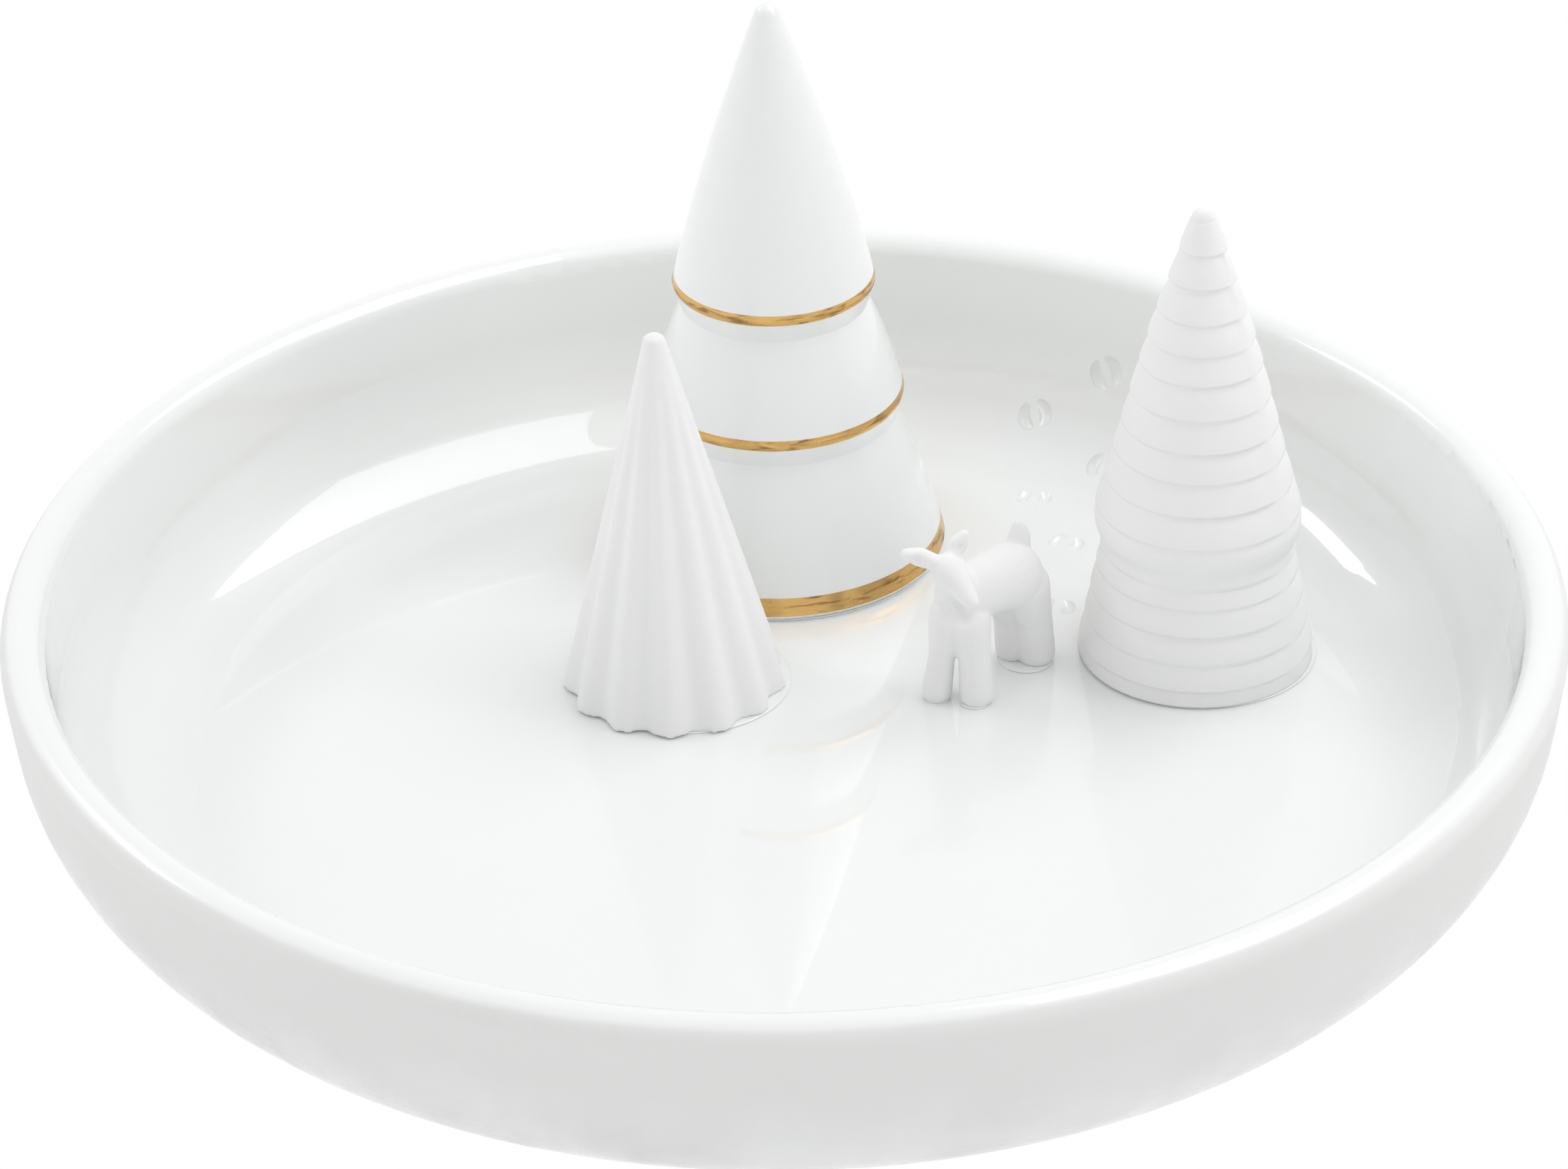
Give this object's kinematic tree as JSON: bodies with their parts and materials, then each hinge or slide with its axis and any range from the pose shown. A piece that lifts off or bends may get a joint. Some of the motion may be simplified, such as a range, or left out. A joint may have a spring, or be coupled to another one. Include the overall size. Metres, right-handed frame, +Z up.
{
  "type": "ring dish",
  "caption": "Round porcelain dish with a rolled rim, whose cone-shaped trees hold finger rings, with a small standing fawn and hoof prints between them",
  "frame": {"origin": "centre of the dish's foot, on the surface that it stands on", "axes": "+Z up out of the dish, -Y towards the front with the tall tree at the back, +X to the right with the ribbed tree"},
  "size_m": [0.15, 0.15, 0.0652],
  "materials": {
    "glazed_porcelain": "clear glaze over white porcelain, glossy",
    "matt_porcelain": "unglazed fine porcelain, matt",
    "gold_lustre": "brushed-on gold lustre fired onto the glaze, glossy",
    "clear_bond": "clear bond, glossy"
  },
  "bodies": {
    "root": {"dish": "glazed_porcelain", "tall_tree": "glazed_porcelain", "gold_line_top": "gold_lustre", "gold_line_middle": "gold_lustre", "gold_line_foot": "gold_lustre", "tall_tree_bond": "clear_bond", "fluted_tree": "matt_porcelain", "fluted_tree_bond": "clear_bond", "ribbed_tree": "matt_porcelain", "ribbed_tree_bond": "clear_bond", "fawn": "matt_porcelain", "fawn_bond": "clear_bond"}
  },
  "joints": []
}
